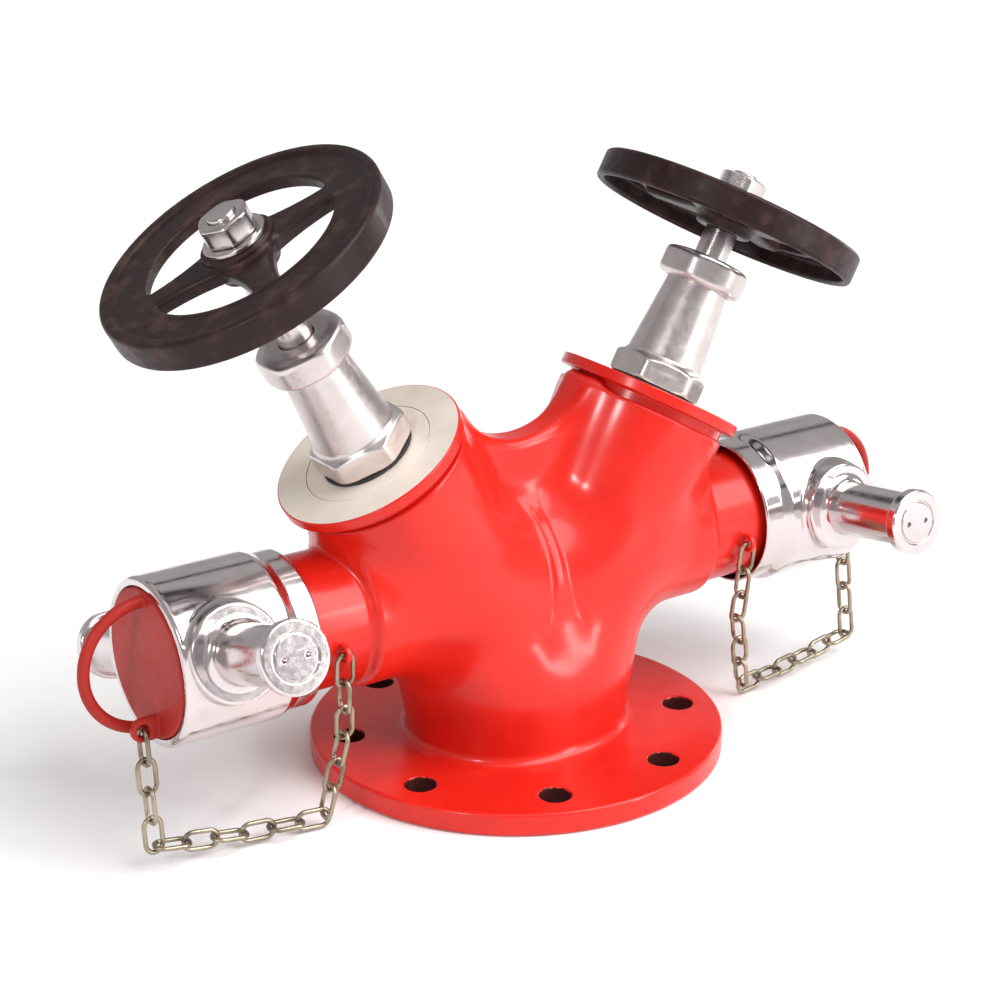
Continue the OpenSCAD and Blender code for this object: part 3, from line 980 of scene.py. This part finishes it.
@dataclass
class Spindle:
    """One arm's bonnet, gland nut, stem, handwheel, washer and nut."""

    shop: Paintshop
    side: Side
    lift: float
    bonnet_base: float = 178.5
    hex_flats: float = 46.0
    hex_t: float = 13.0
    barrel_foot: float = 21.5
    barrel_top: float = 16.0
    barrel_end: float = 66.0
    gland_flats: float = 45.0
    gland_t: float = 16.0
    stem_r: float = 9.0
    stud_r: float = 7.0
    stem_foot: float = 77.8
    stem_bore_r: float = 9.3
    stud_bore_r: float = 7.1
    pocket_r: float = 13.0
    pocket_l: float = 13.0
    packing_t: float = 8.0
    follower_t: float = 9.0
    roof_t: float = 4.0
    hub_t: float = 17.0
    wheel_r: float = 73.0
    wheel_t: float = 15.5
    rim_w: float = 24.0
    spoke_w: float = 14.0
    spoke_turn: float = 17.0
    washer_r: float = 16.0
    washer_t: float = 2.5
    nut_flats: float = 24.0
    nut_t: float = 11.0
    stub: float = 2.0

    def bonnet(self, p: Array) -> Array:
        """Distance to the bonnet: plug, hexagon foot and tapered barrel."""
        plug = drum(p, 33.7, -15.5, -1.5, 0.15)
        spigot = drum(p, 21.0, -3, 2)
        foot = nut_blank(p, self.hex_flats, 0, 0, self.hex_t)
        barrel = cone(p, self.barrel_foot, self.barrel_top, self.hex_t - 4, self.barrel_end, 0.8)
        body = round_join(foot, barrel, 3.5)
        body = join(plug, spigot, body)
        pocket = drum(p, self.pocket_r, self.barrel_end - self.pocket_l, 90)
        bore = join(drum(p, self.stem_bore_r, -30, 90), pocket)
        return round_cut(body, bore, 0.6)

    def gland(self, p: Array) -> Array:
        """Distance to the gland nut, from its lower face."""
        body = nut_blank(p, self.gland_flats, 0, 0, self.gland_t, 3.0)
        body = round_cut(body, drum(p, self.barrel_top + 1.1, -5, self.gland_t - self.roof_t), 0.5)
        return round_cut(body, radius_of(p) - self.stem_bore_r, 0.8)

    def wheel(self, p: Array) -> Array:
        """Distance to the handwheel: channel rim, four spokes and a tapered hub."""
        r, z = radius_of(p), p[:, 2]
        inner, outer, top = self.wheel_r - self.rim_w, self.wheel_r, self.wheel_t
        web = round_meet(between(r, inner, outer - 0.4), between(z, top - 6.0, top - 1.7), 1.3)
        skirt = round_meet(between(r, outer - 4.2, outer), between(z, 0, top), 2.1)
        lip = round_meet(between(r, outer - 6.4, outer), between(z, top - 5, top), 2.1)
        bead = round_meet(between(r, inner, inner + 3.6), between(z, top - 8, top - 1.7), 1.3)
        rim = round_join(round_join(web, skirt, 1.6), join(lip, bead), 1.0)
        rim = np.maximum(rim, round_meet(between(r, inner, outer), between(z, 0, top), 2.1))
        angle = np.arctan2(p[:, 1], p[:, 0]) - math.radians(self.spoke_turn)
        fold = angle - np.round(angle / (math.pi / 2)) * (math.pi / 2)
        along, across = r * np.cos(fold), np.abs(r * np.sin(fold))
        swell = self.spoke_w / 2 + 0.006 * np.maximum(46 - along, 0) ** 2
        deep = between(z, top - 10.0, top - 2.4)
        spoke = round_meet(round_meet(across - swell, deep, 2.4), between(along, 8, inner + 2), 1.0)
        hub = cone(p, 15.0, 19.0, 0, self.hub_t, 1.6)
        body = round_join(round_join(hub, spoke, 3.0), rim, 2.2)
        return round_cut(body, r - self.stud_bore_r, 0.6)

    def nut(self, p: Array) -> Array:
        """Distance to the nut on top of the wheel."""
        blank = nut_blank(p, self.nut_flats, 30, 0, self.nut_t)
        return round_cut(blank, radius_of(p) - self.stud_bore_r, 0.6)

    def stem_outline(self) -> list[Triple]:
        """The stem's outline from its foot in the valve to its threaded end."""
        foot, wheel = self.stem_foot, STATIONS.wheel_s
        end = wheel + self.hub_t + self.washer_t + self.nut_t + self.stub
        return [
            (0.01, foot, 0.002), (self.stem_r, foot, 0.8), (self.stem_r, wheel, 0.6),
            (self.stud_r, wheel, 0.2), (self.stud_r, end, 1.2), (0.01, end, 0.002),
        ]

    def build(self, skins: dict[str, Skin]) -> None:
        """Makes one arm's pieces.

        Args:
            skins: The arm's meshed solids in their own frames.
        """
        hub = STATIONS.wheel_s + self.lift
        wheel_body, casting = self.side.node("spindle"), "casting"
        packed = self.packing_t + self.follower_t + self.roof_t - self.pocket_l
        gland_s = self.bonnet_base + self.barrel_end + packed - self.gland_t
        plan = (
            ("bonnet", self.bonnet_base, casting, "plated_casting"),
            ("gland_nut", gland_s, casting, "plated_casting"),
            ("stem", self.lift, wheel_body, "bright_steel"),
            ("handwheel", hub, wheel_body, "black_enamel"),
            ("wheel_washer", hub + self.hub_t, wheel_body, "bright_steel"),
            ("wheel_nut", hub + self.hub_t + self.washer_t, wheel_body, "bright_steel"),
        )
        for name, s, body, slot in plan:
            skin = skins[name].placed(STATIONS.on_arm(s), self.side.mirrored)
            coats = self.shop.coats(slot, "turned_face")
            piece = skin.piece(self.side.node(name) + ".dressed", coats)
            if name == "bonnet":
                middle = skins[name].middles()
                mark(piece, (radius_of(middle) > 24) & (middle[:, 2] < -1))
            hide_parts(self.side.node(name))
            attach(piece, body)
            LOG.info("%s: %d points", piece.name, len(skin.points))

    def skins(self) -> dict[str, Skin]:
        """Meshes the arm's solids once, for both arms."""
        bore, edge, thick, rim = self.stud_bore_r, self.washer_r, self.washer_t, self.wheel_r
        ring = [(bore, 0, 0.3), (edge, 0, 0.4), (edge, thick, 0.7), (bore, thick, 0.3)]
        return {
            "bonnet": Moulder(0.75).skin(self.bonnet, (-34, -34, -16), (34, 34, self.barrel_end)),
            "gland_nut": Moulder(0.6).skin(self.gland, (-27, -27, 0), (27, 27, self.gland_t)),
            "stem": Lathe(64).skin(self.stem_outline()),
            "handwheel": Moulder(0.8).skin(self.wheel, (-rim, -rim, 0), (rim, rim, self.hub_t)),
            "wheel_washer": Lathe(96).skin(ring),
            "wheel_nut": Moulder(0.45).skin(self.nut, (-14, -14, 0), (14, 14, self.nut_t)),
        }


@dataclass
class Coupling:
    """One outlet's female coupling, with its two spring-loaded lugs."""

    shop: Paintshop
    side: Side
    turn: float
    collar_x: float = 139.0
    collar_r: float = 39.6
    mouth_r: float = 38.0
    mouth_l: float = 8.0
    shoulder_x: float = 155.0
    barrel_r: float = 42.0
    boss_r: float = 24.0
    boss_end: float = 47.0
    housing_r: float = 14.5
    housing_end: float = 97.0
    knob_r: float = 17.5
    coil_r: float = 8.5
    wire_r: float = 0.9
    coil_low: float = 53.7
    coil_high: float = 94.0
    coil_turns: int = 7
    pull: float = 7.0
    sleeve_r: float = 34.8
    way_r: float = 27.0
    socket_r: float = 33.5
    lip_r: float = 37.4
    lug_bore_r: float = 6.8
    coil_bore_r: float = 11.0

    def across(self, p: Array) -> Array:
        """Points of the outlet's frame, folded onto the front lug, with Z along that lug."""
        return np.stack([p[:, 2] - STATIONS.lug_x, p[:, 0], np.abs(p[:, 1])], 1)

    def barrel(self, p: Array) -> Array:
        """Distance to the coupling, in the outlet's frame with its lugs level."""
        r, x, end = radius_of(p), p[:, 2], STATIONS.face_x
        collar = round_meet(r - self.collar_r, between(x, self.collar_x, self.shoulder_x), 1.6)
        shell = round_meet(r - self.barrel_r, x - end, 2.6)
        bevel = (r - self.barrel_r) * 0.7 + (self.shoulder_x - x) * 0.7
        shell = round_meet(shell, bevel, 1.8)
        shell = round_meet(shell, self.shoulder_x - 4 - x, 0.5)
        body = round_join(collar, shell, 1.8)
        lug = self.across(p)
        boss = drum(lug, self.boss_r, 0, self.boss_end, 1.4)
        housing = drum(lug, self.housing_r, 0, self.housing_end, 0.9)
        body = round_join(body, boss, 2.2)
        body = round_join(body, housing, 4.5)
        bore = join(
            drum(p, self.sleeve_r, 100, 158),
            drum(p, self.mouth_r, 130, self.collar_x + self.mouth_l),
            drum(p, self.way_r, 150, 200),
            drum(p, self.socket_r, 166, 260),
            drum(p, self.lip_r, end - 4, 260),
            drum(lug, self.lug_bore_r, 10, 130),
            drum(lug, self.coil_bore_r, 50, 130),
        )
        return round_cut(body, bore, 0.8)

    def lug(self, p: Array) -> Array:
        """Distance to one lug: tip, collar, rod and knob, with Z along it."""
        tip = cone(p, 4.0, 6.5, 32.5, 35.5, 0.4)
        shank = drum(p, 6.5, 35, 53.4, 0.4)
        collar = drum(p, 10.5, 50.4, 53.4, 0.4)
        rod = drum(p, 5.0, 50, 100)
        knob = drum(p, self.knob_r, 97.4, STATIONS.knob_r, 1.3)
        r = radius_of(p)
        groove = np.maximum(np.abs(r - 11.3) - 0.55, STATIONS.knob_r - 0.8 - p[:, 2])
        knob = round_cut(knob, groove, 0.25)
        pins = np.maximum(np.hypot(np.abs(p[:, 0]) - 6, p[:, 1]) - 1.25, 100 - p[:, 2])
        knob = round_cut(knob, pins, 0.3)
        return join(tip, shank, collar, rod, knob)

    def coil(self) -> Skin:
        """Sweeps a lug's spring: round wire, wound along Z, with closed ends."""
        steps, around, wire, turns = 40, 16, self.wire_r, self.coil_turns
        t = np.linspace(0, turns, turns * steps + 1)
        flat = 2.2 * wire
        low, high = self.coil_low + wire, self.coil_high - wire
        rise = np.interp(t, (0, 1, turns - 1, turns), (low, low + flat, high - flat, high))
        angle = 2 * math.pi * t
        outward = np.stack([np.cos(angle), np.sin(angle), 0 * t], 1)
        middle = outward * self.coil_r + np.stack([0 * t, 0 * t, rise], 1)
        along = np.gradient(middle, axis=0)
        along /= np.linalg.norm(along, axis=1)[:, None]
        across = np.cross(along, outward)
        turn = 2 * math.pi * np.arange(around) / around
        c, s = np.cos(turn)[None, :, None], np.sin(turn)[None, :, None]
        normals = outward[:, None] * c + across[:, None] * s
        points = middle[:, None] + normals * wire
        sides = tube_quads(len(t), around, False)[:, [0, 3, 2, 1]]
        rows = np.arange(around // 2 - 1)
        ladder = np.stack([rows, around - 1 - rows, around - 2 - rows, rows + 1], 1)
        count = len(t) * around
        ends = np.concatenate([ladder + count, ladder[:, ::-1] + count + around])
        points = np.concatenate([points.reshape(-1, 3), points[0], points[-1]])
        caps = np.repeat(np.stack([-along[0], along[-1]]), around, axis=0)
        normals = np.concatenate([normals.reshape(-1, 3), caps])
        quads = np.concatenate([sides, ends])
        first, second, third = (points[quads[:, n]] for n in range(3))
        facing = np.cross(second - first, third - first)
        inward = (facing * normals[quads[:, 0]]).sum(1) < 0
        quads[inward] = quads[inward][:, ::-1]
        return Skin(points, quads, normals)

    def skins(self) -> dict[str, Skin]:
        """Meshes the coupling's solids once, for both outlets."""
        end = STATIONS.face_x
        return {
            "coil": self.coil(),
            "coupling": Moulder(0.85).skin(self.barrel, (-43, -98, self.collar_x), (43, 98, end)),
            "lug": Moulder(0.5).skin(self.lug, (-18, -18, 32), (18, 18, STATIONS.knob_r)),
        }

    def build(self, skins: dict[str, Skin]) -> None:
        """Makes one outlet's coupling and lugs.

        Args:
            skins: The coupling's meshed solids in their own frames.
        """
        spin = Matrix.Rotation(math.radians(-self.turn), 4, "Z")
        placing = Placing(STATIONS.on_outlet().matrix @ spin)
        shell = skins["coupling"].placed(placing, self.side.mirrored)
        # Painted shade: the recess in the collar's mouth takes a near-black finish, standing in for
        # the shadow between the collar and the neck.
        coats = self.shop.coats("polished_metal", "painted_bore_shade")
        piece = shell.piece(self.side.node("coupling.dressed"), coats)
        middle = skins["coupling"].middles()
        deep = middle[:, 2] < self.collar_x + self.mouth_l + 0.5
        mark(piece, deep & (radius_of(middle) < self.mouth_r + 0.25))
        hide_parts(self.side.node("coupling"))
        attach(piece, "casting")
        LOG.info("%s: %d points", piece.name, len(shell.points))
        for facing in Facing:
            name = self.side.node(f"lug_{facing.value}")
            skin = skins["lug"].placed(STATIONS.on_lug(self.turn, facing), self.side.mirrored)
            knob = skin.piece(name + ".dressed", self.shop.coats("polished_metal"))
            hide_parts(name)
            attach(knob, name)
            LOG.info("%s: %d points", knob.name, len(skin.points))
            self.spring(skins["coil"], facing)

    def spring(self, skin: Skin, facing: Facing) -> None:
        """Makes one lug's spring.

        Args:
            skin: The spring in its lug's frame.
            facing: Which lug.
        """
        name = self.side.node(f"spring_{facing.value}")
        placing = STATIONS.on_lug(self.turn, facing)
        coil = skin.placed(placing, self.side.mirrored)
        made = coil.piece(name + ".wound", self.shop.coats("spring_steel"))
        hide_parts(name)
        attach(made, "casting")
        flip = MIRROR if self.side.mirrored else 1.0
        seat, root = placing.world(np.array([[0, 0, self.coil_high], [0, 0, 0.0]])) * flip
        self.side.node(f"lug_{facing.value}_pull")
        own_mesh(made)


@dataclass
class Cap:
    """One outlet's blank cap with its loop handle and chain tab."""

    shop: Paintshop
    side: Side
    disc_r: float = 37.0
    disc_t: float = 6.0
    plug_r: float = 32.0
    core_r: float = 26.0
    foot_r: float = 30.5
    loop_r: float = 32.0
    bar_r: float = 3.0
    tab: Triple = (29.0, -9.0, 222.5)
    tab_r: float = 6.0
    tab_t: float = 4.0
    tab_bore_r: float = 3.4

    def solid(self, p: Array) -> Array:
        """Distance to the cap, in the outlet's frame: its X runs down."""
        end = STATIONS.face_x
        disc = drum(p, self.disc_r, end - self.disc_t + 2.4, end + 0.8, 1.2)
        plug = join(
            drum(p, self.core_r, end - 40, end - 3),
            drum(p, self.plug_r, end - 12, end - 2, 0.6),
            drum(p, self.foot_r, end - 40, end - 36, 0.6),
        )
        ring = np.hypot(p[:, 0], p[:, 2] - end - 1) - self.loop_r
        loop = np.maximum(np.hypot(ring, p[:, 1]) - self.bar_r, end + 1 - p[:, 2])
        body = round_join(disc, loop, 1.6)
        down, front, out = self.tab
        flat, thick = np.hypot(p[:, 0] - down, p[:, 2] - out), np.abs(p[:, 1] - front)
        strap = np.maximum(np.abs(p[:, 0] - down) - self.tab_r, between(p[:, 2], end, out))
        tab = round_meet(join(flat - self.tab_r, strap), thick - self.tab_t / 2, 1.0)
        body = round_join(body, tab, 1.2)
        body = round_cut(body, np.maximum(flat - self.tab_bore_r, thick - 3), 0.8)
        return join(body, plug)

    def skin(self) -> Skin:
        """Meshes the cap once, for both outlets."""
        end = STATIONS.face_x
        return Moulder(0.75).skin(self.solid, (-38, -38, end - 40), (38, 38, end + 37))

    def build(self, skin: Skin) -> None:
        """Makes one cap.

        Args:
            skin: The cap's meshed solid in the outlet's frame.
        """
        shell = skin.placed(STATIONS.on_outlet(), self.side.mirrored)
        piece = shell.piece(self.side.node("cap.dressed"), self.shop.coats("red_cap"))
        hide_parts(self.side.node("cap"))
        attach(piece, self.side.node("cap"))
        LOG.info("%s: %d points", piece.name, len(shell.points))


@dataclass
class Fittings:
    """The frame's own pieces that stay: seats, clacks, packings, seals and chains."""

    shop: Paintshop
    nodes: dict[str, Piece]
    finishes: dict[str, str] = field(default_factory=lambda: {
        "seat_ring": "gunmetal", "clack": "gunmetal", "clack_washer": "black_rubber",
        "clack_nut": "gunmetal", "bonnet_gasket": "black_rubber", "gland_packing": "black_rubber",
        "gland_follower": "gunmetal", "coupling_gasket": "black_rubber", "cap_seal": "black_rubber",
        "chain_1": "chain_wire", "chain_2": "chain_wire", "chain_3": "chain_wire",
        "chain_4": "chain_wire", "chain_5": "chain_wire",
    })

    def dress(self) -> None:
        """Gives every kept piece its finish."""
        for side in Side:
            for piece, slot in self.finishes.items():
                node = self.nodes[side.node(piece)]
                node.data.materials.clear()
                node.data.materials.append(self.shop.mixed[slot])
                LOG.info("%s: %s", node.name, slot)


@dataclass
class Studio:
    """The pale floor, the soft lights, the surroundings and the camera."""

    eye: Triple = (-0.6582, -0.9360, 0.5573)
    target: Triple = (-0.0224, -0.0186, 0.1470)
    roll: float = -0.30
    lens: float = 84.9
    reach: float = 2.4

    @staticmethod
    def facing(place: Triple, target: Triple) -> Matrix:
        """Where a camera or a lamp stands when it looks from a place at a target."""
        look = (Vector(target) - Vector(place)).to_track_quat("-Z", "Y")
        return Matrix.Translation(place) @ look.to_matrix().to_4x4()

    def camera(self) -> None:
        """Stands the camera where the valve is seen from."""
        data = bpy.data.cameras.new("camera")
        data.lens, data.sensor_width = self.lens, 36.0
        data.clip_start, data.clip_end = 0.05, 50.0
        made = show("camera", data)
        roll = Matrix.Rotation(math.radians(self.roll), 4, "Z")
        made.matrix_world = self.facing(self.eye, self.target) @ roll
        bpy.context.scene.camera = made

    def lamp(
        self, name: str, azimuth: float, rise: float, size: tuple[float, float], power: float
    ) -> None:
        """Hangs one soft box that faces the valve.

        Args:
            name: Its name.
            azimuth: Its bearing from the valve's front, in degrees to the right.
            rise: Its height above the horizon, in degrees.
            size: Its width and height in metres.
            power: Its power in watts.
        """
        a, e = math.radians(azimuth), math.radians(rise)
        level = self.reach * math.cos(e)
        place = (level * math.sin(a), -level * math.cos(a), self.reach * math.sin(e) + 0.12)
        data = bpy.data.lights.new(name, "AREA")
        data.shape, data.size, data.size_y, data.energy = "RECTANGLE", *size, power
        show(name, data).matrix_world = self.facing(place, (0, 0, 0.13))

    def surroundings(self) -> None:
        """A white tent with one dark band, for the polished metal to reflect."""
        world = bpy.data.worlds.new("tent")
        bpy.context.scene.world = world
        world.use_nodes = True
        tree = world.node_tree
        place = tree.nodes.new("ShaderNodeTexCoord")
        split = tree.nodes.new("ShaderNodeSeparateXYZ")
        ramp = tree.nodes.new("ShaderNodeValToRGB")
        tree.links.new(place.outputs["Generated"], split.inputs["Vector"])
        tree.links.new(split.outputs["Z"], ramp.inputs["Fac"])
        stops = (
            (0.0, 0.90), (0.12, 0.90), (0.30, 0.86), (0.42, 0.96), (0.570, 1.0),
            (0.578, 0.01), (0.630, 0.01), (0.638, 1.0), (0.90, 1.0), (1.0, 0.95),
        )
        band = ramp.color_ramp
        band.elements[0].position, band.elements[1].position = stops[0][0], stops[-1][0]
        for at, _ in stops[1:-1]:
            band.elements.new(at)
        for element, (_, tone) in zip(band.elements, stops):
            element.color = (tone, tone, tone, 1)
        back = tree.nodes["Background"]
        tree.links.new(ramp.outputs["Color"], back.inputs["Color"])
        back.inputs["Strength"].default_value = 0.47

    def sun(self) -> None:
        """Hangs a very soft sun that whitens the floor out to its edge."""
        data = bpy.data.lights.new("sun", "SUN")
        data.energy, data.angle = 2.8, math.radians(50)
        show("sun", data).rotation_euler = (math.radians(34), math.radians(28), 0)

    def floor(self) -> None:
        """Lays the pale floor."""
        mesh = bpy.data.meshes.new("floor")
        half, drop = 12.0, -0.0004
        corners = [(-half, -half), (half, -half), (half, half), (-half, half)]
        mesh.from_pydata([(x, y, drop) for x, y in corners], [], [(0, 1, 2, 3)])
        n = Nodes("floor_paper")
        n.colour(n.spread(n.noise(60, 3), 0, 1), (0.90, 0.90, 0.90), (0.93, 0.93, 0.93))
        n.fix({"Roughness": 0.9})
        mesh.materials.append(n.material)
        made = show("floor", mesh)

    def build(self) -> None:
        """Sets up the whole studio."""
        bpy.context.scene.view_settings.view_transform = "Standard"
        self.camera()
        self.floor()
        self.surroundings()
        self.sun()
        self.lamp("strip", 30, 10, (0.26, 1.3), 17)
        self.lamp("key", -65, 28, (0.25, 0.25), 13)
        self.lamp("side", 96, 4, (0.3, 1.2), 12)
        self.lamp("top", 10, 82, (1.7, 1.7), 8)
        LOG.info("studio: camera, floor, sun and four lamps")


def main() -> None:
    """Builds the valve on its frame, dresses it and sets up the studio."""
    logging.basicConfig(level=logging.INFO, format="%(message)s")
    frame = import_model()
    shop = Paintshop()
    Casting(shop).build()
    spindles = [Spindle(shop, Side.LEFT, 27.0), Spindle(shop, Side.RIGHT, 0.0)]
    skins = spindles[0].skins()
    for spindle in spindles:
        spindle.build(skins)
    couplings = [Coupling(shop, Side.LEFT, 18.0), Coupling(shop, Side.RIGHT, 8.0)]
    skins = couplings[0].skins()
    for coupling in couplings:
        coupling.build(skins)
    caps = [Cap(shop, side) for side in Side]
    skin = caps[0].skin()
    for cap in caps:
        cap.build(skin)
    Fittings(shop, frame["nodes"]).dress()
    Studio().build()


if __name__ == "__main__":
    main()
